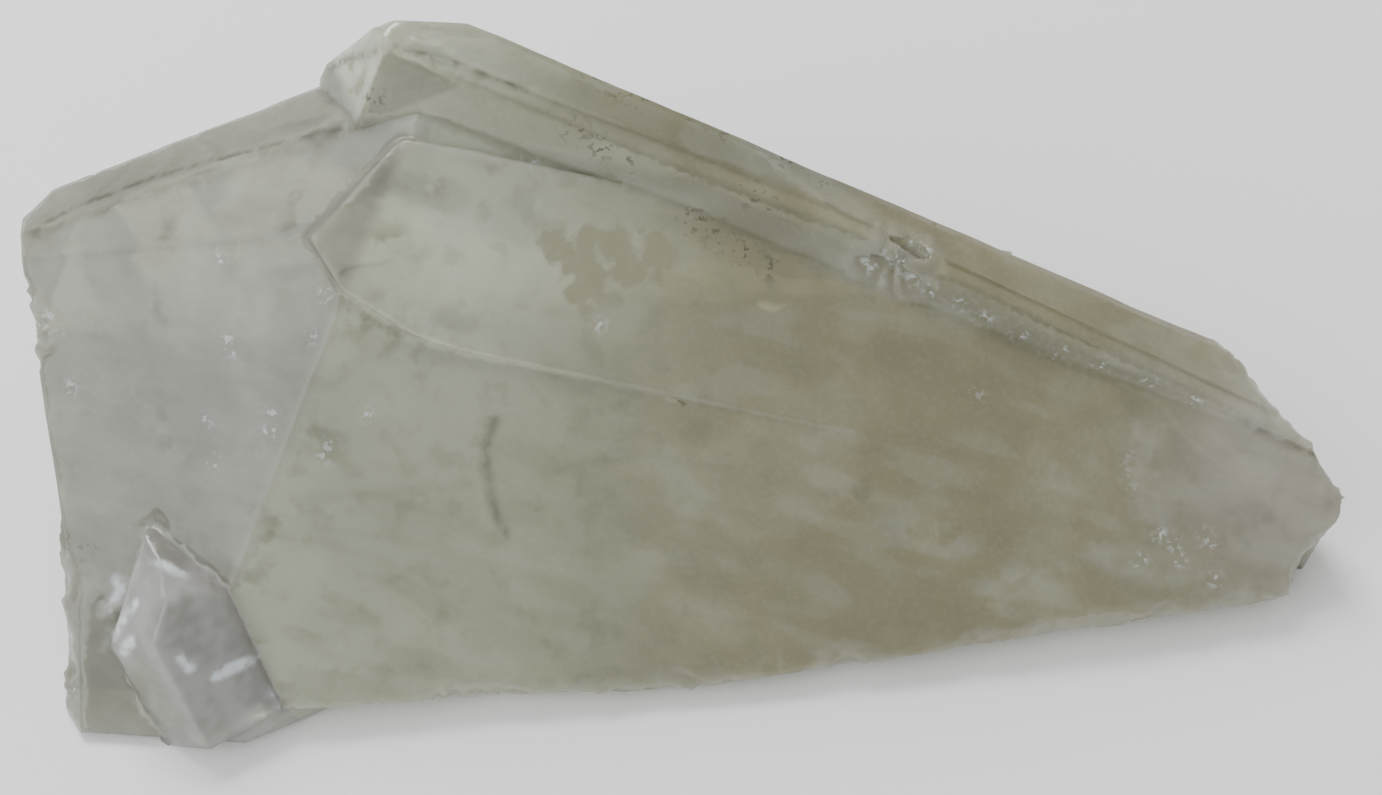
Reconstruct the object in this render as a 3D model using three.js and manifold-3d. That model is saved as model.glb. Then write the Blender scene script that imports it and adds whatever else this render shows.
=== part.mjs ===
// A quartz specimen: a hand-sized cluster of quartz points that grew together, lying on its side.
// Millimetres, +Z up, +X along the specimen towards its broken root, +Y away from its show face.
// Every crystal is a convex solid bounded by flat faces. A face is written as a goniometer gives it:
// its normal's azimuth (0 faces -Y, the show side, and 90 faces +X), its elevation above the horizon,
// both in degrees, and its distance from the crystal's own centre.
import * as THREE from "three";
import { ConvexGeometry } from "three/addons/geometries/ConvexGeometry.js";
import { mergeVertices } from "three/addons/utils/BufferGeometryUtils.js";
import Module from "manifold-3d";

const wasm = await Module();
wasm.setup();

// Quartz's own angle: a tip face's normal stands this far from the crystal's long axis.
const TIP_FACE_ANGLE = 51.8;

const radians = THREE.MathUtils.degToRad;

function direction(azimuth, elevation) {
  const level = Math.cos(radians(elevation));
  return new THREE.Vector3(
    Math.sin(radians(azimuth)) * level,
    -Math.cos(radians(azimuth)) * level,
    Math.sin(radians(elevation)),
  );
}

// A seeded source of numbers from 0 to 1, so that the broken surfaces come out the same each time.
function seeded(seed) {
  let state = seed;
  return () => {
    state = (state * 1664525 + 1013904223) % 4294967296;
    return state / 4294967296;
  };
}

function solidOf(geometry) {
  const bare = geometry.clone();
  bare.deleteAttribute("normal");
  bare.deleteAttribute("uv");
  const merged = mergeVertices(bare, 1e-4);
  return new wasm.Manifold(
    new wasm.Mesh({
      numProp: 3,
      vertProperties: merged.attributes.position.array,
      triVerts: new Uint32Array(merged.index.array),
    }),
  );
}

// The convex solid inside all the planes, each a unit normal and a distance from the origin.
function insidePlanes(planes) {
  const corners = [];
  const determinant = new THREE.Matrix3();
  for (let i = 0; i < planes.length; i++)
    for (let j = i + 1; j < planes.length; j++)
      for (let k = j + 1; k < planes.length; k++) {
        const [a, b, c] = [planes[i], planes[j], planes[k]];
        determinant.set(...a.normal, ...b.normal, ...c.normal);
        if (Math.abs(determinant.determinant()) < 1e-4) continue;
        const corner = new THREE.Vector3(a.distance, b.distance, c.distance);
        corner.applyMatrix3(determinant.invert());
        if (planes.every((p) => p.normal.dot(corner) < p.distance + 1e-4)) corners.push(corner);
      }
  return solidOf(new ConvexGeometry(corners));
}

function plane(normal, distance, centre) {
  return { normal, distance: distance + normal.dot(centre) };
}

// A crystal or block from a list of faces, [azimuth, elevation, distance].
function faceted(centre, faces) {
  const at = new THREE.Vector3(...centre);
  return insidePlanes(faces.map(([azimuth, elevation, d]) => plane(direction(azimuth, elevation), d, at)));
}

// A quartz point: six prism faces round a long axis, six tip faces that lean on them, and a cut root.
// roll turns the first prism face round the axis, away from straight down.
function quartzPoint({ centre, axis, roll, prism, tip, root }) {
  const at = new THREE.Vector3(...centre);
  const along = direction(...axis);
  const side = new THREE.Vector3(0, 0, 1).cross(along).normalize();
  const under = side.clone().cross(along).normalize();
  const planes = [plane(along.clone().negate(), root, at)];
  for (let k = 0; k < 6; k++) {
    const turn = radians(roll + 60 * k);
    const out = under.clone().multiplyScalar(Math.cos(turn)).addScaledVector(side, Math.sin(turn));
    planes.push(plane(out, prism[k], at));
    const leaning = out.clone().multiplyScalar(Math.sin(radians(TIP_FACE_ANGLE)));
    leaning.addScaledVector(along, Math.cos(radians(TIP_FACE_ANGLE)));
    planes.push(plane(leaning, tip[k], at));
  }
  return insidePlanes(planes);
}

// Broken quartz: a chunk of about these half-sizes whose skin is many flat scars, turned by heading.
function brokenChunk({ centre, halfSizes, heading, scars, roughness, seed }) {
  const random = seeded(seed);
  const at = new THREE.Vector3(...centre);
  const turned = new THREE.Matrix4().makeRotationZ(radians(heading));
  const golden = Math.PI * (3 - Math.sqrt(5));
  const planes = [];
  for (let i = 0; i < scars; i++) {
    const height = 1 - (2 * (i + 0.5)) / scars;
    const turn = golden * i + random() * 0.6;
    const level = Math.sqrt(1 - height * height);
    const normal = new THREE.Vector3(level * Math.cos(turn), level * Math.sin(turn), height);
    const reach = new THREE.Vector3(...halfSizes).multiply(normal).length();
    const distance = reach * (1 - roughness * random());
    planes.push(plane(normal.transformDirection(turned), distance, at));
  }
  return insidePlanes(planes);
}

// A shell-shaped scar is cut by a ball, flattened to the depth and facing azimuth and elevation.
function scarTool({ at, width, depth, facing }) {
  const ball = new THREE.IcosahedronGeometry(1, 2);
  ball.scale(width / 2, (width / 2) * 0.7, depth);
  const up = new THREE.Vector3(0, 0, 1);
  ball.applyQuaternion(new THREE.Quaternion().setFromUnitVectors(up, direction(...facing)));
  ball.translate(...at);
  return solidOf(ball);
}

// Many scars along a broken edge from one end to the other, with seeded sizes, heights and tilts.
function scarsAlong({ from, to, count, width, depth, facing, climb, seed }) {
  const random = seeded(seed);
  const [start, end] = [new THREE.Vector3(...from), new THREE.Vector3(...to)];
  return Array.from({ length: count }, (_, i) => {
    const at = start.clone().lerp(end, (i + 0.1 + 0.8 * random()) / count);
    at.z += climb * random();
    const size = 0.55 + 0.9 * random();
    const tilted = [facing[0] + 40 * (random() - 0.5), facing[1] + 30 * (random() - 0.5)];
    return scarTool({ at: at.toArray(), width: width * size, depth: depth * size, facing: tilted });
  });
}

const joined = (solids) => solids.reduce((whole, next) => whole.add(next));
const cutBy = (whole, tools) => tools.reduce((rest, tool) => rest.subtract(tool), whole);

// The same faces moved in or out: a later growth layer of a crystal. Faces not named move inward.
function layerOf({ centre, faces }, moves, inward) {
  const moved = faces.map(([azimuth, elevation, d], i) => [azimuth, elevation, d + (moves[i] ?? -inward)]);
  return faceted(centre, moved);
}

// The main point: short and thick. Its left end is made of large tip faces, two on top and one in front.
const MAIN_POINT = {
  centre: [10, 2, 20],
  faces: [
    [-34, 58.3, 34],
    [-111.9, 66, 48.2],
    [-23.4, 44.7, 29.1],
    [6, 38, 10.5],
    [9, 42, 9.75],
    [12.1, 46, 9.5],
    [103.6, 65.5, 20],
    [151, 36, 23],
    [170, 12, 27],
    [182, -32, 30],
    [-161.5, 25, 45],
    [-127, 12, 77.2],
    [-83, -3, 81.4],
    [-50, -38, 62],
    [2.7, -40, 32.1],
    [10, -38, 30.9],
    [75, -24, 62.9],
  ],
};

// The middle plate: a last growth layer on the show side. It stands proud of the main point on the left
// and sinks into it towards the root.
const MIDDLE_PLATE = {
  centre: [10, 8, 34],
  faces: [
    [13.3, 45.6, 3.7],
    [103.6, 65.5, 7],
    [-24.9, 77.1, 20.6],
    [-112.9, 41.7, 41.2],
    [-52.4, -3.7, 41.3],
    [-27.3, -12, 26.2],
    [-11.6, -13.1, 17.1],
    [-6.5, -10.9, 14.5],
    [-100, -10, 50],
    [175, 10, 4],
    [0, -90, 20],
    [100, 5, 62],
  ],
};

// The top point: long and slim, it makes the crest.
const TOP_POINT = {
  centre: [15, 17, 33],
  faces: [
    [-3.5, 18, 10.7],
    [45.2, 66, 10.9],
    [77.9, 66, 9.6],
    [152, 36, 4.5],
    [-68, 28, 50.7],
    [-115, 70, 40.7],
    [-125, 20, 52],
    [-160, 30, 31],
    [178, 40, 19.8],
    [-104, 0, 55.5],
    [-29, -36.4, 22],
    [176, -20, 10],
    [-126, -65.5, 14],
    [100, -20, 60],
  ],
};
const CREST_LAYER_MOVES = [-1.6, 0.35, 0.35, -0.5];

// The base lump: broken quartz under the left end, down to the ground.
const BASE_LUMP = {
  centre: [-52, -6, 9],
  faces: [
    [-5, 48, 11.6],
    [-60, 30, 19],
    [-88, 0, 19.4],
    [-40, -20, 31.5],
    [30, 10, 22],
    [178, 5, 30],
    [90, 0, 30],
    [0, 85, 4.5],
    [0, -80, 12],
  ],
};

// The small clear point leans against the left end, in front of the base lump.
const SMALL_POINT = {
  centre: [-55.6, -21.6, 9],
  axis: [-143.5, 53],
  roll: -6,
  prism: [7.2, 7.8, 7.6, 7.2, 7, 7.6],
  tip: [9, 7.5, 8, 9.5, 8, 8.5],
  root: 11,
};

// Two low points behind, grown the same way as the crest, and one that crosses them.
const BACK_POINTS = [
  {
    centre: [-18, 26, 12],
    axis: [-100, 15],
    roll: 38,
    prism: [11, 10, 11, 10, 10.5, 11],
    tip: [30, 27, 24, 28, 27, 29],
    root: 50,
  },
  {
    centre: [6, 27, 7],
    axis: [-94, 7],
    roll: 12,
    prism: [10, 9, 9, 8.5, 9, 10],
    tip: [24, 22, 25, 22, 23, 24],
    root: 33,
  },
  {
    centre: [-56, 27, 9],
    axis: [-135, 28],
    roll: 22,
    prism: [7, 7.5, 7, 6.5, 7.5, 7],
    tip: [13, 12, 13.5, 13, 12.5, 13],
    root: 18,
  },
];

// Broken lumps: the rough ground the points grew from, along the back foot and under the root end.
const LUMPS = [
  { centre: [20, 16, 8], halfSizes: [30, 16, 10], heading: -8, scars: 34, roughness: 0.14, seed: 11 },
  { centre: [-32, 18, 9], halfSizes: [32, 17, 14], heading: 6, scars: 34, roughness: 0.14, seed: 5 },
  { centre: [4, 29, 6], halfSizes: [13, 8, 8], heading: 20, scars: 22, roughness: 0.2, seed: 23 },
  { centre: [-58, 9, 8], halfSizes: [14, 13, 11], heading: 0, scars: 26, roughness: 0.18, seed: 31 },
];

// The root end broke off along one slanting plane: its azimuth, elevation and distance from the centre.
const ROOT_BREAK = [130, 11.5, 54.9];

const SCARS = [
  { at: [-72.6, 4.3, 31], width: 9, depth: 0.8, facing: [-50, 30] },
  { at: [-70.6, -16.5, 13], width: 11, depth: 1.3, facing: [-55, 10] },
  { at: [22, 7.4, 37.4], width: 9, depth: 0.6, facing: [8, 40] },
  { at: [-27, -29.6, 2], width: 22, depth: 2.6, facing: [12, -12] },
  { at: [71.5, -14, 7.5], width: 13, depth: 2.6, facing: [70, -5] },
  { at: [73.2, -6, 16], width: 9, depth: 1.6, facing: [110, 30] },
  { at: [66.5, 1, 21], width: 11, depth: 1.3, facing: [115, 35] },
  { at: [61.5, 9, 23], width: 9, depth: 1.5, facing: [130, 40] },
  { at: [58.6, 14.6, 13], width: 24, depth: 2.2, facing: [132, 8] },
  { at: [69, 3.6, 8], width: 18, depth: 1.9, facing: [124, 6] },
  { at: [52, 24.2, 8], width: 17, depth: 1.8, facing: [134, 8] },
];

// Nicks along the show face's foot, the left foot, the back foot and the broken root's foot.
const EDGE_SCARS = [
  {
    from: [-18, -28.2, 1],
    to: [30, -22.8, 2],
    count: 8,
    width: 9,
    depth: 0.9,
    facing: [8, -14],
    climb: 0.5,
    seed: 3,
  },
  {
    from: [30, -22.4, 3],
    to: [66, -17, 5],
    count: 5,
    width: 10,
    depth: 1.1,
    facing: [10, -8],
    climb: 0.5,
    seed: 8,
  },
  {
    from: [-73.8, 20, 3],
    to: [-72, -22, 2],
    count: 7,
    width: 15,
    depth: 1.2,
    facing: [-88, 2],
    climb: 4,
    seed: 19,
  },
  {
    from: [-40, 40, 4],
    to: [36, 36, 4],
    count: 7,
    width: 16,
    depth: 1.6,
    facing: [178, 10],
    climb: 3,
    seed: 14,
  },
  {
    from: [53.5, 23, 1],
    to: [71, 2.5, 1],
    count: 5,
    width: 10,
    depth: 1,
    facing: [128, 0],
    climb: 2,
    seed: 27,
  },
];

const points = [
  faceted(MAIN_POINT.centre, MAIN_POINT.faces),
  faceted(MIDDLE_PLATE.centre, MIDDLE_PLATE.faces),
  faceted(TOP_POINT.centre, TOP_POINT.faces),
  layerOf(TOP_POINT, CREST_LAYER_MOVES, 1.5),
  faceted(BASE_LUMP.centre, BASE_LUMP.faces),
  quartzPoint(SMALL_POINT),
  ...BACK_POINTS.map(quartzPoint),
  ...LUMPS.map(brokenChunk),
];
const scars = [...SCARS.map(scarTool), ...EDGE_SCARS.flatMap(scarsAlong)];

const [breakAzimuth, breakElevation, breakDistance] = ROOT_BREAK;
const intoTheStone = direction(breakAzimuth, breakElevation).negate().toArray();
const brokenOff = joined(points).trimByPlane(intoTheStone, -breakDistance);
// It stands on a flat underside, where it broke from its rock. Crumbs that the scars cut loose are dropped.
const pieces = cutBy(brokenOff, scars).trimByPlane([0, 0, 1], 0).decompose();
const standing = pieces.reduce((largest, piece) => (piece.volume() > largest.volume() ? piece : largest));

// The origin is the middle of the box round the specimen, at the ground.
const box = standing.boundingBox();
const middle = [0, 1].map((axis) => (box.min[axis] + box.max[axis]) / 2);
const placed = standing.translate([-middle[0], -middle[1], 0]);

function meshOf(solid, name, material) {
  const { vertProperties, triVerts } = solid.getMesh();
  const geometry = new THREE.BufferGeometry();
  geometry.setAttribute("position", new THREE.BufferAttribute(vertProperties, 3));
  geometry.setIndex(new THREE.BufferAttribute(triVerts, 1));
  const mesh = new THREE.Mesh(geometry.toNonIndexed(), material);
  mesh.geometry.computeVertexNormals();
  mesh.name = name;
  return mesh;
}

const quartz = new THREE.MeshStandardMaterial({ color: 0x9a9c8b, roughness: 0.25, metalness: 0 });
const specimen = new THREE.Group();
specimen.add(meshOf(placed, "quartz_cluster", quartz));

export default specimen;
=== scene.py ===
"""Looks for the quartz specimen: a milky, half clear cluster of quartz points lying on a pale floor.

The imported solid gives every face. One dense skin of the same shape stands for it: its faces get growth
relief, its edges small chips and its broken ends shell-like ripples, all in the mesh. Metres, +Z up.
"""
import math

import bmesh
import bpy
import numpy as np
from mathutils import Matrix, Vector, kdtree
from mathutils.geometry import delaunay_2d_cdt


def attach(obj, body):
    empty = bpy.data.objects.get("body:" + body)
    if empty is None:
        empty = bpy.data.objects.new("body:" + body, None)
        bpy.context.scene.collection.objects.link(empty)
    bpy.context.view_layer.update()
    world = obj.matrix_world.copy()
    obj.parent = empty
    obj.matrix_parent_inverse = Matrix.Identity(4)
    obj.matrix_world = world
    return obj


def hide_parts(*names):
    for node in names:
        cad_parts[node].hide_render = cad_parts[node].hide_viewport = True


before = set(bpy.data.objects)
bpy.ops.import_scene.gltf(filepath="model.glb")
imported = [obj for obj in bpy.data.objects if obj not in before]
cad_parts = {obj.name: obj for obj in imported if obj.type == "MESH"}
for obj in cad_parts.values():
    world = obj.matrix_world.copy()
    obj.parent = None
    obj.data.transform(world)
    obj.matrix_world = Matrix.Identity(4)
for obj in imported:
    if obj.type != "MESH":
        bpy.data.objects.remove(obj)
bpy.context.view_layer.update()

MM = 0.001
NODE = "quartz_cluster"

# The photograph's view, measured from its crystal edges.
CAMERA_TARGET = Vector((-0.376, -1.755, 20)) * MM
CAMERA_DISTANCE = 262 * MM
CAMERA_ELEVATION = 54
CAMERA_LENS = 60
SENSOR_WIDTH = 36

# The solid's corners closer than this are one, and faces that bend less than this are one flat face.
MERGE_REACH = 0.02 * MM
FLAT_BEND = math.radians(0.5)

# The skin's triangles: their sides at an edge or a mark, their sides far away, and the growth in between.
FINEST_SIDE = 0.52 * MM
COARSEST_SIDE = 2.2 * MM
SIDE_GROWTH = 0.5
SMALLEST_FILLED_FACE = 0.5 * MM * MM

# What the triangulation keeps, and how close two of its points are to be one, millimetres.
INSIDE_BORDER = 1
SAME_SPOT = 1e-7

# The grid of points inside a face: its seed, then its shake and its gap to the rim in steps of the grid.
SPOT_SEED = 41
SPOT_JITTER = 0.2
RIM_GAP = 0.7

# How far apart the points along an edge or a mark are, millimetres.
FEATURE_STEP = 0.3

# Bends that make a ridge or a groove. A sliver's area is under this share of its half perimeter squared.
RIDGE_BEND = math.radians(7)
GROOVE_BEND = math.radians(12)
SLIVER_SHAPE = 0.03

# Faces this small are scars. The broken look ends at the first distance and is full at the second.
SCAR_FACE_AREA = 3 * MM * MM
BREAK_REACH = (2.4 * MM, 1.0 * MM)
BREAK_EVENING_ROUNDS = 5
BREAK_EVENING_SHARE = 0.6

# Depths of the relief on the skin.
FACE_SWELL = 0.045 * MM
FACE_RIPPLE = 0.02 * MM
CHIP_DEPTH = 0.12 * MM
EDGE_WEAR = 0.03 * MM
SHELL_RIPPLE = 0.16 * MM
BREAK_GRAIN = 0.1 * MM
CRACK_DEPTH = 0.16 * MM
PIT_DEPTH = 0.12 * MM
CRUST_DEPTH = 0.04 * MM

# Places of the marks on the crystals, millimetres.
CREASE = [(-73.3, 8.6, 36.6), (-68.7, 10.8, 38.3), (-64.3, 11.2, 40.1), (-60, 12.1, 41.7),
          (-55.5, 11.9, 43.6), (-48.7, 11.8, 46.4), (-43.3, 11.6, 48.5), (-37.7, 11.6, 50.4)]
CREST_LEDGE = [(-31.4, 14.4, 59.9), (-27.7, 14.2, 58.6), (-22.3, 13.5, 56.7), (-17.5, 12.8, 55.1)]
TIP_SEAM = [(-39.7, 19.9, 50.9), (-37.4, 18.3, 53.8), (-33.8, 15.2, 57.9), (-31.6, 14.3, 59.9)]
TOP_LEFT_EDGE = [(-73.7, 6, 35.1), (-61.9, 4.5, 38.5), (-53.3, 3.4, 40.9), (-40.7, 1.6, 44.3)]
DARK_VEIN = [(-21.5, -11.3, 29.1), (-22.4, -12.8, 27.3), (-22.7, -14.8, 24.7), (-22.1, -17, 21.9),
             (-21.3, -18.6, 19.8), (-20.6, -19.3, 18.8)]
FAINT_VEINS = [
    [(-42.8, -18, 23.4), (-33.1, -16.9, 23.4), (-24.4, -16, 23.5)],
    [(-14.7, -14.5, 24.1), (-5.9, -13, 24.8), (3.9, -13.5, 22.7)],
    [(-58.4, -8.9, 27.5), (-57.1, -10.3, 26.7), (-55.7, -11.8, 25.9)],
]
# Painted shade along the plate's lower edge.
PLATE_SHADE = [(-30.5, -6.2, 37.2), (-27.2, -6.9, 35.3), (-20.9, -7.3, 33.8), (-14.5, -7.9, 32),
               (-8.1, -7.9, 31.6)]
ROOT_CRACK = [(59.4, -4.6, 21.2), (63.3, -5.4, 19.4), (68.8, -6.6, 16.9), (71, -7, 15.9)]
TAN_STAIN = [(-14.6, 1.6, 42.2), (-11.7, 2.6, 42.6), (-9.1, 2.4, 42), (-7.1, 1.4, 40.8), (-6.2, 0.5, 39.8),
             (-11, -0.4, 39.8), (-12.4, -1.6, 38.8), (-4.2, 2.5, 41), (-13, 0.6, 41.2)]
OLIVE_PATCHES = [(-33, 0.6, 45.1), (-31.6, 0.9, 45), (-27.5, 5.2, 48.3), (-49.2, 1.9, 41.1),
                 (-57.1, 6, 40.9)]
TIP_STAIN = [(-36.4, 16.6, 54.3), (-35.4, 14.7, 54.8), (-35.9, 14.3, 53.7), (-36.7, 14.8, 52.6)]
DARK_SPECKS = [(-33.9, 12, 54.6), (-12.6, 9.8, 52), (-10, 9, 50.1), (-7.4, 8.4, 48.6), (-11.1, 15.7, 53.8),
               (-7.9, 14.8, 52.6), (-4.8, 14.2, 51.4), (0.6, 13.4, 49.4), (2.7, 13, 48.6), (9.8, 11.5, 45.4),
               (14, 10.7, 43.8), (0.1, 5.3, 42.8), (2.8, 4.4, 41.4), (5.5, 3.3, 39.8), (8.2, 2.3, 38.3),
               (-70, -18, 13.7), (-68.5, -18.8, 14.2), (-67, -18.5, 15.1), (5.9, 6.5, 45.4),
               (7.6, 6.1, 44.3)]
# The first four lie under the plate's lower edge and are painted shade; the others are dark smudges.
SMUDGES_AND_SHADE = [(-36.2, -4, 40), (-34.6, -4.8, 39), (-31.9, -5.6, 37.6), (-28.3, -7, 35.6), (18.6, -14.4, 19.4),
           (-50, -23, 17), (-41, -14, 29), (-59, -1, 35), (-57, -11, 25.6), (-46, -20, 21)]
# Small pits, each with a painted highlight on it.
GLINTS = [(18.6, 3.9, 37.3), (20.1, 3.8, 39.6), (21.8, 3.4, 38.7), (23, 3.8, 36.4), (23.8, 3, 35.7),
          (24, 5.6, 39.1), (25.1, 4.9, 38.5), (19.4, 3.6, 36.7), (21.4, 3.9, 37.4), (25.8, 1.9, 34.9),
          (29.2, 1.2, 33.3), (32, 0.5, 31.8), (36, -0.5, 30), (40.6, -1.5, 28.2), (45.2, -2.4, 26.4),
          (50.9, -3, 24.6), (56.2, -4, 22.6), (-73, 1.5, 30.5), (-71.4, 1, 31.5), (-71.8, 0, 30.3),
          (-70.2, -0.2, 30.7), (-72.5, -0.7, 29.1), (-69, -5.2, 26.7), (-45.5, -11.5, 30.2),
          (-45.8, -12.7, 29), (-52.2, -14.1, 25.1), (-51, 1.8, 40.3), (-50.4, -4.4, 34.8), (-49.9, -5.6, 34),
          (-53.2, -10.6, 28), (-39.3, -14, 28.1), (-39.9, -14.7, 27.2), (-35.2, -11.7, 30.4),
          (-29.6, -5, 38.1), (-41, -6.1, 37), (-39.2, -3.2, 40.5), (-17.5, 8.6, 48.4), (-10.2, -3.9, 36.2),
          (48.8, -9.2, 19.2), (48.7, -10.8, 17.7), (49.3, -12, 16.4), (52.7, -15.1, 11.9),
          (54.5, -15.8, 10.9), (55.1, -17, 9.6), (58, -14.7, 11.2), (58.6, -15.5, 10.3), (59.3, -18.4, 7.5),
          (31.6, -5.7, 26), (50.5, -17.4, 10.2), (-69.5, -30.3, 3.4)]
PALE_PATCHES = [(33, -21, 9.5), (35.8, -20.2, 10.2), (38.9, -19.8, 10.2), (41, -19.4, 10.3), (28, -17.1, 15),
                (29.5, -17.6, 14.2), (23.4, -16.4, 16.6), (20.5, 3.8, 38.6), (-28.6, 9.4, 52.4)]
PALE_STREAKS = [
    [(-47.6, 1, 40.9), (-49.8, -4, 35.4), (-49.5, -6.8, 32.9), (-48.4, -9.2, 31.2)],
    [(-59.1, 2.3, 37.6), (-59.7, 0.2, 35.4), (-58.6, -2.4, 33.4)],
    [(-57, 2.7, 38.8), (-58, 0.7, 36.5), (-56.3, -1.9, 34.8), (-56.8, -3.9, 32.7)],
    [(-53.8, 2.1, 39.5), (-55, -0.7, 36.4), (-54, -3.2, 34.5)],
    [(-46.3, -2.2, 38.5), (-47.1, -5.3, 35.3), (-45.9, -8.7, 32.7)],
    # This upright streak near the right end is a painted glint.
    [(49.6, -6.6, 20.5), (50.2, -10.7, 16.5), (51.3, -14, 13.3)],
    [(51.3, -7.3, 19.5), (52.1, -12.2, 14.7), (54.2, -16.2, 10.5)],
    [(44.8, -16.6, 12.1), (48.1, -18, 10), (52.9, -18.9, 8.3), (60.1, -18, 7.7)],
    [(23.4, -16.1, 16.5), (26.9, -17.4, 14.4), (30.9, -18.1, 13)],
    [(-27.6, 16.1, 59.6), (-22.5, 15.2, 57.6), (-17.3, 13.7, 55.5)],
    [(-25.7, 17.6, 59), (-20.5, 16.5, 57.4), (-14.2, 15.3, 55.1)],
    [(49.5, 5.5, 30.6), (55, 5, 28), (60.5, 5.6, 24.5), (64.5, 4.5, 21.8)],
    [(8.5, -27.8, 4), (10.8, -27.1, 4.6)],
    [(-28.6, 11.1, 53.1), (-27.1, 10.7, 52.4), (-27.9, 9.8, 51.7), (-29.9, 10, 52.3)],
]
# Painted highlights: bright reflections on the small point's faces.
PAINTED_FLASHES = [
    [(-64.2, -21.9, 13.1), (-63.2, -22.4, 13), (-64.1, -23.3, 11.8), (-65.3, -24.2, 10.6)],
    [(-61.4, -29.8, 13.4), (-62.2, -29.7, 12), (-62.8, -29.7, 10.7)],
    [(-61, -26.2, 15.5), (-62.4, -27.2, 13.6), (-63.9, -28.5, 11.7)],
    [(-47.3, -32.4, 7.2), (-46.8, -32.8, 6.4), (-46.5, -33.3, 5.5)],
    [(-48, -29.3, 9.7), (-49.8, -31, 10.5), (-52.3, -32.4, 10.4)],
    [(-55.7, -31.6, 13.5), (-55.2, -31.9, 12.8), (-54.8, -32.4, 12.1)],
    [(-59.2, -22.8, 18.8), (-57.1, -23.7, 19.3), (-55.3, -24.4, 18.5)],
]
CREST_AXIS = Vector((99.5, -20, -42)).normalized()

# Where the body colour changes: at planes, each a place and a normal, and round a few spots.
LEFT_END_PLANE = ((-37, -3.4, 41.2), (0.922, -0.284, -0.261))
# The band on this plane is painted shade on the steep front face under the crest.
SHADED_BAND_PLANE = ((-25.7, 11.1, 53.4), (-0.058, -0.949, 0.309))
CREST_PLANE = ((0, 7, 48.6), (0.3, 0.35, 0.9))
ROOT_END = [(64, -9, 17), (69, -10, 11)]
MILKIEST = [(-25, 2, 43), (-34, 15, 56)]
GREENISH = [(-60.5, -30.5, 8), (-58, -32, 5)]

# The small clear point's own faces, as the solid has them: its centre, its long axis, and how far its
# prism faces and tip faces lie from the centre.
SMALL_POINT = Vector((-55.976, -25.355, 9)) * MM
SMALL_POINT_AXIS = (-143.5, 53)
SMALL_POINT_ROLL = -6
SMALL_POINT_SIDES = (7.2, 7.8, 7.6, 7.2, 7, 7.6)
SMALL_POINT_TIPS = (9, 7.5, 8, 9.5, 8, 8.5)
TIP_FACE_ANGLE = 51.8
SMALL_POINT_RIM = (0.25 * MM, 0.08 * MM)

# The quartz itself: how it bends, soaks up and scatters light.
QUARTZ_IOR = 1.544
ABSORPTION_COLOR = (0.8, 0.82, 0.66, 1)
ABSORPTION_DENSITY = 18
SCATTER_SHARE = 0.4
SCATTER_RADIUS = (1.0, 1.0, 0.8)
SCATTER_DEPTH = 6 * MM

# The material's noises: patches, grit, and growth lines drawn out along the crest with their bump.
PATCH_SCALE = 330
GRIT_SCALE = 1400
LINE_SCALE = 900
LINE_STRETCH = 0.04
LINE_STRENGTH = 0.12
LINE_DEPTH = 0.2 * MM

# The stage: a pale floor, a soft room that is brighter overhead, and two large lights.
FLOOR_REACH = 3
FLOOR_COLOR = (0.93, 0.93, 0.93, 1)
FLOOR_ROUGHNESS = 0.7
ROOM_BELOW = (0.62, 0.63, 0.66, 1)
ROOM_ABOVE = (0.96, 0.96, 0.94, 1)
ROOM_STRENGTH = 0.8
LIGHT_DISTANCE = 1.0

# Name, azimuth, elevation, size, power and colour of each light.
LIGHTS = (
    ("window_behind", 208, 55, 0.5, 8, (1, 1, 1)),
    ("fill_left", -55, 38, 0.8, 5, (0.94, 0.97, 1.0)),
)


def direction(azimuth, elevation):
    """The unit vector at an azimuth (0 towards the camera's side, 90 towards +X) and an elevation."""
    a, e = math.radians(azimuth), math.radians(elevation)
    return Vector((math.sin(a) * math.cos(e), -math.cos(a) * math.cos(e), math.sin(e)))


# Numbers per vertex
def waves(points, size, seed, count=20, streak_axis=None, squeeze=1.0):
    """Smooth noise, about -1 to 1: plane waves with seeded directions, about size metres long.

    The pattern runs in streaks along streak_axis, longer ones where squeeze is smaller.
    """
    rng = np.random.default_rng(seed)
    total = np.zeros(len(points))
    for _ in range(count):
        way = rng.normal(size=3)
        way /= np.linalg.norm(way)
        if streak_axis is not None:
            axis = np.array(streak_axis)
            way -= axis * (way @ axis) * (1 - squeeze)
        way *= 2 * math.pi / (size * rng.uniform(0.6, 1.6))
        total += np.sin(points @ way + rng.uniform(0, 2 * math.pi))
    return total / math.sqrt(count / 2)


def smooth_step(values, low, high):
    t = np.clip((values - low) / (high - low), 0, 1)
    return t * t * (3 - 2 * t)


def falloff(distance, reach):
    """1 at no distance, and next to nothing past twice the reach."""
    return np.exp(-((distance / reach) ** 2))


def near_spots(points, spots, radius):
    closest = np.full(len(points), 1e9)
    for spot in spots:
        closest = np.minimum(closest, np.linalg.norm(points - np.array(spot) * MM, axis=1))
    return falloff(closest, radius)


def near_line(points, line, radius):
    closest = np.full(len(points), 1e9)
    for a, b in zip(line, line[1:]):
        a, b = np.array(a) * MM, np.array(b) * MM
        t = np.clip((points - a) @ (b - a) / ((b - a) @ (b - a)), 0, 1)
        closest = np.minimum(closest, np.linalg.norm(points - a - t[:, None] * (b - a), axis=1))
    return falloff(closest, radius)


def near_lines(points, lines, radius):
    return np.maximum.reduce([near_line(points, line, radius) for line in lines])


def over_plane(points, plane):
    """How far the points lie over a plane, millimetres."""
    place, normal = plane
    return (points / MM - np.array(place)) @ np.array(normal)


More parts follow.
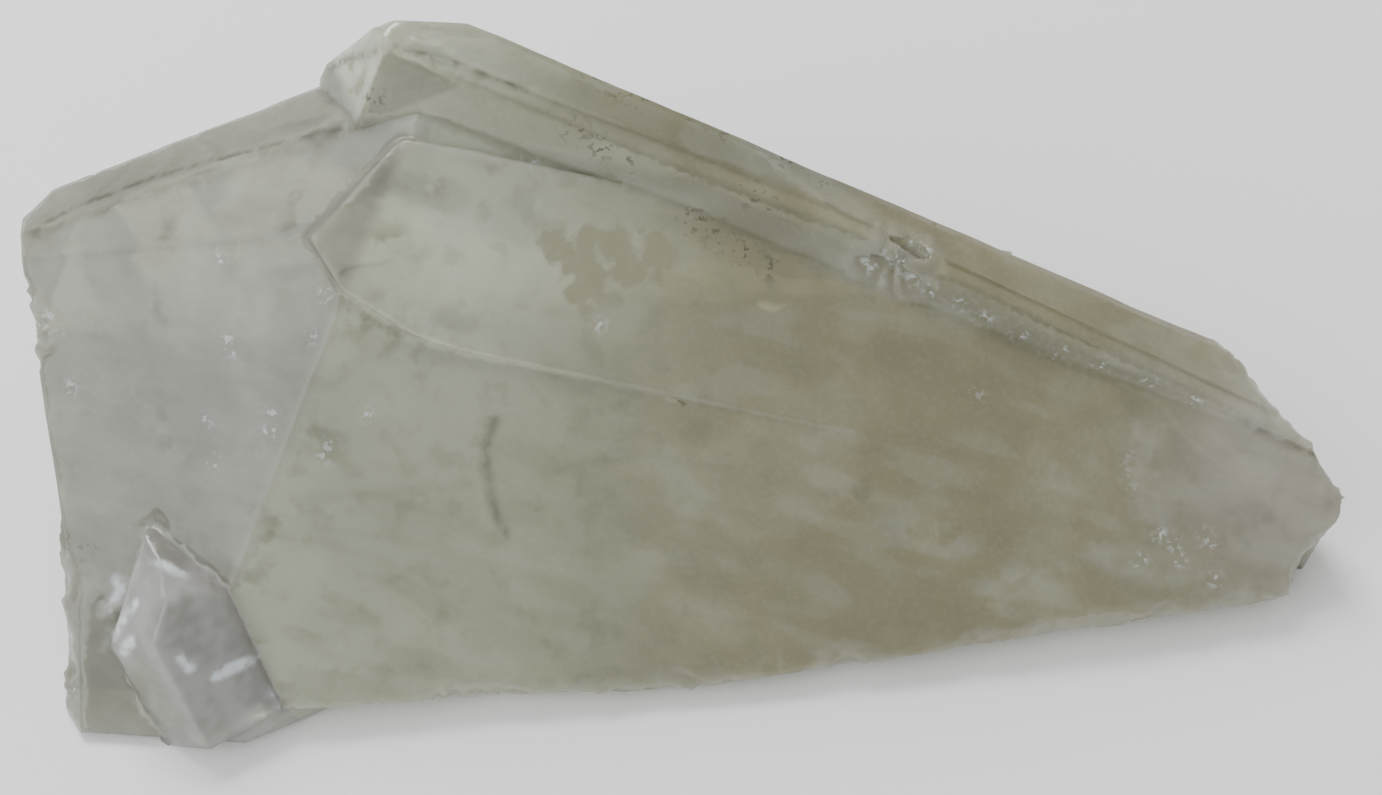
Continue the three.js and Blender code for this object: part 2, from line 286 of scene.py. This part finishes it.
def inside_small_point(points):
    """1 on and inside the small point's faces, and 0 away from them."""
    along = direction(*SMALL_POINT_AXIS)
    side = Vector((0, 0, 1)).cross(along).normalized()
    under = side.cross(along).normalized()
    lean = math.radians(TIP_FACE_ANGLE)
    proud = np.full(len(points), -1e9)
    for k, (reach, tip_reach) in enumerate(zip(SMALL_POINT_SIDES, SMALL_POINT_TIPS)):
        turn = math.radians(SMALL_POINT_ROLL + 60 * k)
        out = under * math.cos(turn) + side * math.sin(turn)
        leaning = out * math.sin(lean) + along * math.cos(lean)
        for normal, distance in ((out, reach), (leaning, tip_reach)):
            proud = np.maximum(proud, (points - np.array(SMALL_POINT)) @ np.array(normal) - distance * MM)
    return smooth_step(proud, *SMALL_POINT_RIM)


# Mesh
def merged_solid(source):
    """The solid as few large flat faces, its shared corners joined."""
    bm = bmesh.new()
    bm.from_mesh(source.data)
    bmesh.ops.remove_doubles(bm, verts=bm.verts, dist=MERGE_REACH)
    bmesh.ops.dissolve_degenerate(bm, dist=MERGE_REACH, edges=bm.edges)
    bmesh.ops.dissolve_limit(bm, angle_limit=FLAT_BEND, verts=bm.verts, edges=bm.edges)
    bm.normal_update()
    return bm


def tree_of(points):
    tree = kdtree.KDTree(len(points))
    for i, point in enumerate(points):
        tree.insert(point, i)
    tree.balance()
    return tree


def distances(points, targets):
    """From each point to the nearest target."""
    find = tree_of(targets).find
    return np.array([find(point)[2] for point in points])


def stepped(a, b, step):
    """Points from a to b, about a step apart."""
    count = max(2, int((b - a).length / step) + 1)
    return [a.lerp(b, i / (count - 1)) for i in range(count)]


def along_edges(edges):
    ends = [(edge.verts[0].co, edge.verts[1].co) for edge in edges]
    return [point for a, b in ends for point in stepped(a, b, FEATURE_STEP * MM)]


def along_lines(lines):
    ends = [(Vector(a), Vector(b)) for line in lines for a, b in zip(line, line[1:])]
    return [point * MM for a, b in ends for point in stepped(a, b, FEATURE_STEP)]


def divided_edges(bm):
    """The solid's corners with the points between them, and each edge's points by number."""
    places = [v.co.copy() for v in bm.verts]
    along = {}
    for edge in bm.edges:
        a, b = edge.verts
        count = max(1, math.ceil(edge.calc_length() / FINEST_SIDE))
        ids = [a.index]
        for i in range(1, count):
            ids.append(len(places))
            places.append(a.co.lerp(b.co, i / count))
        along[edge.index] = ids + [b.index]
    return places, along


def spots_inside(flat, longest_side, rng):
    """Places inside a flat outline, millimetres: a shaken grid, thinned out where longer sides will do."""
    step = FINEST_SIDE / MM
    corners = np.array(flat)
    low, high = corners.min(0), corners.max(0)
    counts = [np.arange(1, int((high[k] - low[k]) / step)) for k in (0, 1)]
    rows, columns = np.meshgrid(*counts, indexing="ij")
    every_second = (rows % 2 == 0) & (columns % 2 == 0)
    every_fourth = (rows % 4 == 0) & (columns % 4 == 0)
    level = np.where(every_fourth, 4, np.where(every_second, 2, 1))
    spots = np.stack([rows, columns], -1).reshape(-1, 2) * step + low
    spots += rng.uniform(-SPOT_JITTER, SPOT_JITTER, spots.shape) * (step * level.reshape(-1, 1))
    rim = tree_of([(x, y, 0) for x, y in flat])
    kept = []
    for (x, y), rank in zip(spots, level.ravel()):
        gap = rim.find((x, y, 0))[2]
        if gap >= RIM_GAP * step and rank * FINEST_SIDE <= longest_side(x, y, gap * MM):
            kept.append((x, y))
    return kept


def face_rim(face, along):
    """The numbers of the points round a face, in order."""
    rim = []
    for loop in face.loops:
        ids = along[loop.edge.index]
        rim += ids[:-1] if ids[0] == loop.vert.index else ids[:0:-1]
    return rim


def filled_face(face, rim, places, features, rng):
    """A flat face as triangles, three numbers each. The points it needs inside are added to places."""
    across = face.normal.orthogonal().normalized()
    upward = face.normal.cross(across)
    origin = face.verts[0].co

    def on_face(x, y):
        return origin + across * (x * MM) + upward * (y * MM)

    def longest_side(x, y, gap):
        side = FINEST_SIDE + SIDE_GROWTH * min(gap, features.find(on_face(x, y))[2])
        return min(side, COARSEST_SIDE)

    arms = [places[i] - origin for i in rim]
    flat = [(arm.dot(across) / MM, arm.dot(upward) / MM) for arm in arms]
    ids = list(rim)
    if face.calc_area() > SMALLEST_FILLED_FACE:
        for x, y in spots_inside(flat, longest_side, rng):
            ids.append(len(places))
            places.append(on_face(x, y))
            flat.append((x, y))
    border = list(range(len(rim)))
    made = delaunay_2d_cdt([Vector(spot) for spot in flat], [], [border], INSIDE_BORDER, SAME_SPOT)
    verts, corners, sources = made[0], made[2], made[3]
    names = []
    for vert, source in zip(verts, sources):
        if source:
            names.append(ids[source[0]])
        else:
            names.append(len(places))
            places.append(on_face(*vert))
    return [[names[i] for i in corner] for corner in corners]


def dense_surface(bm, features):
    """The solid's flat faces as small even triangles, finest at an edge or a feature."""
    places, along = divided_edges(bm)
    rng = np.random.default_rng(SPOT_SEED)
    triangles = []
    for face in bm.faces:
        triangles += filled_face(face, face_rim(face, along), places, features, rng)
    triangles = without_fins(np.array(triangles))
    used, triangles = np.unique(triangles, return_inverse=True)
    return [places[i] for i in used], triangles.reshape(-1, 3).tolist()


def without_fins(triangles):
    """The triangles, less any two that lie back to back on the same corners."""
    corners = np.sort(triangles, axis=1)
    _, place, shared = np.unique(corners, axis=0, return_inverse=True, return_counts=True)
    return triangles[shared[place.ravel()] == 1]


def mesh_object(name, places, faces):
    mesh = bpy.data.meshes.new(name)
    mesh.from_pydata(places, [], faces)
    mesh.validate()
    made = bpy.data.objects.new(name, mesh)
    bpy.context.scene.collection.objects.link(made)
    return made


def relaxed(points, edges, mask, rounds):
    """Evens out the points where mask is 1: each moves towards the middle of its neighbours."""
    count = np.bincount(edges.ravel(), minlength=len(points))
    for _ in range(rounds):
        total = np.zeros_like(points)
        for axis in range(3):
            total[:, axis] = np.bincount(edges[:, 0], points[edges[:, 1], axis], len(points))
            total[:, axis] += np.bincount(edges[:, 1], points[edges[:, 0], axis], len(points))
        points = points + (total / count[:, None] - points) * (BREAK_EVENING_SHARE * mask)[:, None]
    return points


def read(items, name, width, kind=np.float32):
    """One property of a mesh's vertices or edges, as rows of numbers."""
    values = np.empty(len(items) * width, kind)
    items.foreach_get(name, values)
    return values.reshape(-1, width)


def place_vertices(mesh, points):
    """Moves the vertices, with none of them below the ground."""
    points[:, 2] = np.maximum(points[:, 2], 0)
    mesh.vertices.foreach_set("co", points.astype(np.float32).ravel())
    mesh.update()


def relief(points, ridge, broken, glints, tan):
    """How far each point moves out of its face: swell, chips, shell ripples, cracks, pits and crust."""
    cracks = near_lines(points, (CREASE, CREST_LEDGE, ROOT_CRACK), 0.3 * MM)
    chip_noise = waves(points, 2.6 * MM, 3) + 0.5 * waves(points, 1.3 * MM, 13)
    offset = FACE_SWELL * waves(points, 17 * MM, 1) + FACE_RIPPLE * waves(points, 5 * MM, 2)
    offset -= CHIP_DEPTH * np.clip(chip_noise - 1.3, 0, 2) * falloff(ridge, 0.7 * MM)
    offset -= EDGE_WEAR * falloff(ridge, 0.35 * MM)
    offset += broken * (SHELL_RIPPLE * np.sin(waves(points, 11 * MM, 4) * 6) * waves(points, 8 * MM, 5))
    offset += broken * BREAK_GRAIN * waves(points, 2.4 * MM, 6)
    offset -= CRACK_DEPTH * cracks * (0.6 + 0.4 * waves(points, 2 * MM, 7))
    offset -= PIT_DEPTH * glints * np.clip(0.3 + waves(points, 1.5 * MM, 8), 0, 1)
    offset -= CRUST_DEPTH * tan * (1 + waves(points, 1.2 * MM, 9))
    offset[points[:, 2] < 0.01 * MM] = 0
    return offset


def masks(points, ridge, groove, broken, clear, glints, tan):
    """The numbers per vertex that the material reads, by name."""
    clouds = waves(points, 22 * MM, 20) + 0.6 * waves(points, 8 * MM, 21)
    wisps = waves(points, 6 * MM, 22, count=30, streak_axis=CREST_AXIS, squeeze=0.3)
    wisps += 0.7 * waves(points, 2.6 * MM, 23, count=30, streak_axis=CREST_AXIS, squeeze=0.3)
    veil = waves(points, 5 * MM, 26, count=24, streak_axis=direction(*SMALL_POINT_AXIS), squeeze=0.3)
    veil += 0.5 * waves(points, 2 * MM, 27)
    fade = 1 + 0.7 * np.clip(points[:, 1] / MM - 8, 0, 20)
    lilac = smooth_step(over_plane(points, LEFT_END_PLANE) / fade, 1.0, -1.0)
    lilac *= smooth_step(points[:, 2], 53 * MM, 51 * MM)
    lilac *= 1 - clear
    # Painted shade on the steep front face under the crest.
    shaded_band = smooth_step(np.abs(over_plane(points, SHADED_BAND_PLANE)), 0.5, 0.2)
    shaded_band *= smooth_step(points[:, 2], 22 * MM, 26 * MM)
    faint_veins = 0.3 * near_lines(points, FAINT_VEINS, 0.6 * MM)
    veins_and_shade = np.maximum(near_line(points, DARK_VEIN, 0.55 * MM), faint_veins)
    # The shade under the plate's lower edge is painted into this mask beside the dark veins.
    veins_and_shade = np.maximum(veins_and_shade, 0.25 * near_line(points, PLATE_SHADE, 1.2 * MM))
    seams = near_lines(points, (CREASE, CREST_LEDGE, TIP_SEAM, ROOT_CRACK), 0.35 * MM)
    seams = np.maximum(seams, 0.6 * near_line(points, TOP_LEFT_EDGE, 0.4 * MM))
    streaks = near_lines(points, PALE_STREAKS, 1.3 * MM)
    return {
        "clear": clear,
        "clouds": clouds,
        "wisps": wisps,
        "smoky": np.clip(smooth_step(points[:, 0], -62 * MM, 22 * MM) + 0.03 * clouds, 0, 1),
        "lilac": lilac,
        "crest": smooth_step(over_plane(points, CREST_PLANE), -1, 1.5),
        "shaded_band": shaded_band,
        "tail": near_spots(points, ROOT_END, 12 * MM),
        "milk": near_spots(points, MILKIEST, 15 * MM),
        "veil": veil,
        "greenish": near_spots(points, GREENISH, 4 * MM),
        "broken": broken,
        # Painted highlight along the crystal edges.
        "ridge": falloff(ridge, 0.7 * MM),
        # Painted shade in the hollow edges.
        "groove": falloff(groove, 1.6 * MM),
        # Painted highlights on the small pits.
        "glint_highlight": glints,
        "stain": np.maximum(tan, 0.8 * near_spots(points, TIP_STAIN, 1.1 * MM)),
        "olive": near_spots(points, OLIVE_PATCHES, 1.3 * MM),
        "specks": near_spots(points, DARK_SPECKS, 2.0 * MM),
        # Dark smudges, and painted shade under the plate's lower edge.
        "smudge_and_shade": near_spots(points, SMUDGES_AND_SHADE, 2.6 * MM),
        # Pale patches and streaks; one upright streak near the right end is a painted glint.
        "pale_and_glints": np.maximum(near_spots(points, PALE_PATCHES, 2.2 * MM), streaks),
        # Dark veins, and painted shade under the plate's lower edge.
        "vein_and_shade": veins_and_shade,
        "seam": seams,
        # Painted highlights on the small point's faces.
        "painted_flash": near_lines(points, PAINTED_FLASHES, 0.85 * MM),
    }


def edge_and_scar_points(bm):
    """Points along the solid's ridges and along its grooves, and the middles of its small broken faces."""
    slivers = {f.index for f in bm.faces if f.calc_area() < SLIVER_SHAPE * f.calc_perimeter() ** 2 / 4}
    bends = [(e, e.calc_face_angle(0)) for e in bm.edges
             if len(e.link_faces) == 2 and not any(f.index in slivers for f in e.link_faces)]
    ridges = along_edges([e for e, bend in bends if e.is_convex and bend > RIDGE_BEND])
    grooves = along_edges([e for e, bend in bends if not e.is_convex and bend > GROOVE_BEND])
    scars = [f.calc_center_median() for f in bm.faces
             if f.calc_area() < SCAR_FACE_AREA and f.index not in slivers]
    return ridges, grooves, scars


def crystal_skin(source):
    """A dense skin on the solid, with relief on it, and the numbers per vertex that its material reads."""
    bm = merged_solid(source)
    ridges, grooves, scars = edge_and_scar_points(bm)
    marks = [Vector(p) * MM for group in (GLINTS, DARK_SPECKS, TAN_STAIN, TIP_STAIN) for p in group]
    marks += along_lines((CREASE, CREST_LEDGE, TIP_SEAM, DARK_VEIN, ROOT_CRACK, *PAINTED_FLASHES))
    bm.verts.index_update()
    bm.edges.index_update()
    skin = mesh_object("quartz_skin", *dense_surface(bm, tree_of(ridges + grooves + marks)))
    bm.free()

    mesh = skin.data
    points = read(mesh.vertices, "co", 3).astype(float)
    edges = read(mesh.edges, "vertices", 2, np.int32)
    vectors = [Vector(p) for p in points]
    ridge, groove, scar = (distances(vectors, targets) for targets in (ridges, grooves, scars))
    clear = inside_small_point(points)
    broken = smooth_step(scar, *BREAK_REACH) * (1 - clear)

    points = relaxed(points, edges, broken, BREAK_EVENING_ROUNDS)
    place_vertices(mesh, points)
    glints = near_spots(points, GLINTS, 0.75 * MM)
    tan = near_spots(points, TAN_STAIN, 2.1 * MM)
    normals = read(mesh.vertices, "normal", 3)
    points = points + normals * relief(points, ridge, broken, glints, tan)[:, None]
    place_vertices(mesh, points)
    mesh.polygons.foreach_set("use_smooth", np.ones(len(mesh.polygons), bool))
    mesh.update()
    for name, values in masks(points, ridge, groove, broken, clear, glints, tan).items():
        layer = mesh.attributes.new(name, "FLOAT", "POINT")
        layer.data.foreach_set("value", values.astype(np.float32))
    return skin


# Materials
class Net:
    """Short calls for the nodes of one material."""

    def __init__(self, name):
        self.material = bpy.data.materials.new(name)
        self.material.use_nodes = True
        self.nodes = self.material.node_tree.nodes
        self.links = self.material.node_tree.links
        self.shader = self.nodes["Principled BSDF"]
        self.place = self.nodes.new("ShaderNodeTexCoord").outputs["Object"]

    def put(self, value, socket):
        if isinstance(value, bpy.types.NodeSocket):
            self.links.new(value, socket)
        else:
            socket.default_value = value

    def attribute(self, name):
        node = self.nodes.new("ShaderNodeAttribute")
        node.attribute_name = name
        return node.outputs["Fac"]

    def noise(self, scale, detail, place=None):
        node = self.nodes.new("ShaderNodeTexNoise")
        node.inputs["Scale"].default_value = scale
        node.inputs["Detail"].default_value = detail
        self.links.new(place or self.place, node.inputs["Vector"])
        return node.outputs["Fac"]

    def drawn_out(self, axis, factor):
        """The place, shrunk along an axis, so that a pattern on it runs in long streaks that way."""
        turn = self.nodes.new("ShaderNodeVectorRotate")
        turn.rotation_type = "EULER_XYZ"
        turn.inputs["Rotation"].default_value = axis.rotation_difference(Vector((1, 0, 0))).to_euler()
        self.links.new(self.place, turn.inputs["Vector"])
        scale = self.nodes.new("ShaderNodeVectorMath")
        scale.operation = "MULTIPLY"
        scale.inputs[1].default_value = (factor, 1, 1)
        self.links.new(turn.outputs[0], scale.inputs[0])
        return scale.outputs[0]

    def remap(self, value, low, high, to_low=0.0, to_high=1.0):
        node = self.nodes.new("ShaderNodeMapRange")
        node.interpolation_type = "SMOOTHSTEP"
        for name, number in (("From Min", low), ("From Max", high), ("To Min", to_low), ("To Max", to_high)):
            node.inputs[name].default_value = number
        self.links.new(value, node.inputs["Value"])
        return node.outputs[0]

    def times(self, a, b):
        return self.math("MULTIPLY", a, b)

    def math(self, operation, a, b, clamp=False):
        node = self.nodes.new("ShaderNodeMath")
        node.operation = operation
        node.use_clamp = clamp
        self.put(a, node.inputs[0])
        self.put(b, node.inputs[1])
        return node.outputs[0]

    def blend(self, factor, a, b):
        node = self.nodes.new("ShaderNodeMix")
        node.data_type = "RGBA"
        self.put(factor, node.inputs["Factor"])
        self.put(a, node.inputs["A"])
        self.put(b, node.inputs["B"])
        return node.outputs["Result"]

    def bump(self, height, strength, distance):
        node = self.nodes.new("ShaderNodeBump")
        node.inputs["Strength"].default_value = strength
        node.inputs["Distance"].default_value = distance
        self.links.new(height, node.inputs["Height"])
        return node.outputs[0]


def rgb(red, green, blue):
    """A linear colour from the sRGB numbers a colour picker shows."""
    shares = [v / 255 for v in (red, green, blue)]
    return tuple(s / 12.92 if s <= 0.04045 else ((s + 0.055) / 1.055) ** 2.4 for s in shares) + (1,)


# Colours
GREENISH_MILK = rgb(202, 205, 182)
SMOKY_ROOT = rgb(156, 151, 118)
THICK_MILK = rgb(214, 218, 198)
LILAC_GREY = rgb(163, 161, 150)
DARK_CREST = rgb(112, 110, 84)
# Painted shade for the steep front face under the crest.
PAINTED_SHADE_BAND = rgb(136, 134, 110)
PINKISH_END = rgb(196, 189, 177)
PALE_CLOUD = rgb(200, 204, 188)
PALE_WISP = rgb(204, 206, 190)
DARK_WISP = rgb(134, 132, 106)
DARK_MOTTLE = rgb(140, 139, 116)
PALE_GRAIN = rgb(216, 217, 204)
FRESH_BREAK = rgb(190, 187, 168)
CLEAR_DARK = rgb(196, 194, 188)
CLEAR_PALE = rgb(232, 230, 228)
CLEAR_GREEN = rgb(196, 197, 168)
PALE_AND_GLINT = rgb(208, 211, 196)
TAN_RIM = rgb(116, 113, 88)
TAN_CORE = rgb(146, 143, 116)
DIRT = rgb(70, 66, 50)
# Painted highlight for the glints and flashes.
PAINTED_SPARKLE = rgb(222, 233, 238)

# Marks that the coarse noise breaks up: the mask, the noise's range, the least and most cover, the colour.
BROKEN_UP_MARKS = (
    # Dark smudges, and painted shade under the plate's lower edge.
    ("smudge_and_shade", 0.44, 0.6, 0, 0.45, rgb(118, 117, 96)),
    # Dark veins, and painted shade under the plate's lower edge.
    ("vein_and_shade", 0.3, 0.6, 0.4, 0.7, rgb(116, 112, 94)),
    ("seam", 0.36, 0.52, 0.2, 0.8, rgb(92, 86, 68)),
    # Painted shade in the hollow edges.
    ("groove", 0.5, 0.64, 0, 0.2, rgb(128, 120, 94)),
    ("olive", 0.4, 0.52, 0, 0.6, rgb(126, 123, 98)),
    # Painted highlight along the crystal edges.
    ("ridge", 0.4, 0.64, 0, 0.3, rgb(212, 213, 198)),
)


def body_color(net, patchy, grit):
    """Greenish milk, smoky towards the root, with a lilac cast on the left and a paler small point."""
    smoky, clouds, wisps = (net.attribute(name) for name in ("smoky", "clouds", "wisps"))
    color = net.blend(smoky, GREENISH_MILK, SMOKY_ROOT)
    color = net.blend(net.times(net.attribute("milk"), 0.8), color, THICK_MILK)
    color = net.blend(net.times(net.attribute("lilac"), 0.75), color, LILAC_GREY)
    color = net.blend(net.times(net.attribute("crest"), net.math("POWER", smoky, 2)), color, DARK_CREST)
    # Painted shade on the steep front face under the crest, stronger towards the root.
    color = net.blend(net.times(net.attribute("shaded_band"), net.remap(smoky, 0, 1, 0.5, 0.75)), color, PAINTED_SHADE_BAND)
    color = net.blend(net.times(net.attribute("tail"), 0.8), color, PINKISH_END)
    color = net.blend(net.remap(clouds, 0.1, 1.5, 0, 0.14), color, PALE_CLOUD)
    color = net.blend(net.remap(wisps, 0.3, 1.8, 0, 0.17), color, PALE_WISP)
    color = net.blend(net.remap(wisps, -0.3, -1.8, 0, 0.18), color, DARK_WISP)
    color = net.blend(net.remap(patchy, 0.5, 0.7, 0, 0.25), color, DARK_MOTTLE)
    color = net.blend(net.remap(grit, 0.45, 0.7, 0, 0.07), color, PALE_GRAIN)
    color = net.blend(net.times(net.attribute("broken"), 0.35), color, FRESH_BREAK)
    inner = net.blend(net.remap(net.attribute("veil"), -1.6, 1.6), CLEAR_DARK, CLEAR_PALE)
    inner = net.blend(net.times(net.attribute("greenish"), 0.7), inner, CLEAR_GREEN)
    return net.blend(net.times(net.attribute("clear"), 0.9), color, inner)


def marked(net, color, patchy, grit):
    """The colour with its marks on it, then the masks of the stain, the dirt and the painted highlights."""
    # Pale patches and streaks; one upright streak near the right end is a painted glint.
    veil = net.times(net.attribute("pale_and_glints"), net.remap(patchy, 0.36, 0.6))
    color = net.blend(net.times(veil, 0.28), color, PALE_AND_GLINT)
    for name, low, high, least, most, tint in BROKEN_UP_MARKS:
        cover = net.times(net.attribute(name), net.remap(patchy, low, high, least, most))
        color = net.blend(cover, color, tint)
    patch = net.math("ADD", net.attribute("stain"), net.remap(patchy, 0.35, 0.65, -0.35, 0.25))
    stain = net.remap(patch, 0.22, 0.52)
    color = net.blend(net.times(stain, 0.6), color, TAN_RIM)
    core = net.times(net.remap(patch, 0.36, 0.7, 0, 0.85), net.remap(grit, 0.35, 0.6, 0.4, 1))
    color = net.blend(core, color, TAN_CORE)
    dirt = net.times(net.attribute("specks"), net.remap(grit, 0.56, 0.62))
    color = net.blend(net.times(dirt, 0.85), color, DIRT)
    # Painted highlights: glints on the small pits and flashes on the small point's faces.
    painted_glint = net.times(net.times(net.attribute("glint_highlight"), net.remap(grit, 0.52, 0.6)), 0.7)
    painted_flash = net.times(net.attribute("painted_flash"), net.remap(patchy, 0.35, 0.6, 0.35, 1))
    painted_sparkle = net.math("MAXIMUM", painted_glint, net.remap(painted_flash, 0.05, 0.95, 0, 0.75))
    return net.blend(painted_sparkle, color, PAINTED_SPARKLE), stain, dirt, painted_sparkle


def milky_quartz():
    """Clear quartz with milk in it, clearest in the small point. Stains, dirt and painted highlights hide
    the inside.
    """
    net = Net("milky_quartz")
    shader = net.shader.inputs
    patchy, grit = net.noise(PATCH_SCALE, 3), net.noise(GRIT_SCALE, 2)
    color, stain, dirt, painted_sparkle = marked(net, body_color(net, patchy, grit), patchy, grit)
    net.put(color, shader["Base Color"])

    clouds = net.attribute("clouds")
    clear_left = net.times(net.attribute("lilac"), 0.15)
    through = net.math("ADD", net.remap(clouds, -1.2, 1.2, 0.4, 0.33), clear_left)
    through = net.math("MAXIMUM", through, net.times(net.attribute("clear"), 0.6))
    opaque = net.math("MAXIMUM", stain, net.math("MAXIMUM", painted_sparkle, dirt))
    through = net.math("MULTIPLY", through, net.remap(opaque, 0, 1, 1, 0.15), True)
    net.put(through, shader["Transmission Weight"])

    rough_breaks = net.times(net.attribute("broken"), 0.12)
    rough = net.math("ADD", net.remap(clouds, -1.2, 1.2, 0.07, 0.18), rough_breaks)
    net.put(net.math("ADD", rough, net.times(stain, 0.3), True), shader["Roughness"])
    growth_lines = net.noise(LINE_SCALE, 1, net.drawn_out(CREST_AXIS, LINE_STRETCH))
    net.put(net.bump(growth_lines, LINE_STRENGTH, LINE_DEPTH), shader["Normal"])

    shader["IOR"].default_value = QUARTZ_IOR
    shader["Subsurface Weight"].default_value = SCATTER_SHARE
    shader["Subsurface Radius"].default_value = SCATTER_RADIUS
    shader["Subsurface Scale"].default_value = SCATTER_DEPTH
    absorption = net.nodes.new("ShaderNodeVolumeAbsorption")
    absorption.inputs["Color"].default_value = ABSORPTION_COLOR
    absorption.inputs["Density"].default_value = ABSORPTION_DENSITY
    net.links.new(absorption.outputs[0], net.nodes["Material Output"].inputs["Volume"])
    return net.material


# Stage
def floor():
    sides = (-FLOOR_REACH, FLOOR_REACH)
    corners = [(x, y, 0) for y in sides for x in sides]
    plane = mesh_object("floor", corners, [(0, 1, 3, 2)])
    net = Net("floor_paint")
    net.shader.inputs["Base Color"].default_value = FLOOR_COLOR
    net.shader.inputs["Roughness"].default_value = FLOOR_ROUGHNESS
    plane.data.materials.append(net.material)


def aim(obj, target):
    obj.rotation_euler = (target - obj.location).to_track_quat("-Z", "Y").to_euler()


def soft_light(name, azimuth, elevation, size, power, color):
    data = bpy.data.lights.new(name, "AREA")
    data.size = size
    data.energy = power
    data.color = color
    light = bpy.data.objects.new(name, data)
    light.location = direction(azimuth, elevation) * LIGHT_DISTANCE
    aim(light, CAMERA_TARGET)
    bpy.context.scene.collection.objects.link(light)


def studio():
    world = bpy.data.worlds.new("soft_room")
    world.use_nodes = True
    nodes, links = world.node_tree.nodes, world.node_tree.links
    split = nodes.new("ShaderNodeSeparateXYZ")
    links.new(nodes.new("ShaderNodeTexCoord").outputs["Generated"], split.inputs[0])
    ramp = nodes.new("ShaderNodeValToRGB")
    ramp.color_ramp.elements[0].color = ROOM_BELOW
    ramp.color_ramp.elements[1].color = ROOM_ABOVE
    links.new(split.outputs["Z"], ramp.inputs["Fac"])
    links.new(ramp.outputs["Color"], nodes["Background"].inputs["Color"])
    nodes["Background"].inputs["Strength"].default_value = ROOM_STRENGTH
    bpy.context.scene.world = world
    for light in LIGHTS:
        soft_light(*light)


def camera():
    data = bpy.data.cameras.new("photo_view")
    data.lens = CAMERA_LENS
    data.sensor_width = SENSOR_WIDTH
    cam = bpy.data.objects.new("photo_view", data)
    cam.location = CAMERA_TARGET + CAMERA_DISTANCE * direction(0, CAMERA_ELEVATION)
    aim(cam, CAMERA_TARGET)
    bpy.context.scene.collection.objects.link(cam)
    bpy.context.scene.camera = cam


camera()
floor()
studio()

skin = crystal_skin(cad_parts[NODE])
skin.data.materials.append(milky_quartz())
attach(skin, "root")
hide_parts(NODE)
print("skin", len(skin.data.vertices), "vertices", len(skin.data.polygons), "triangles")
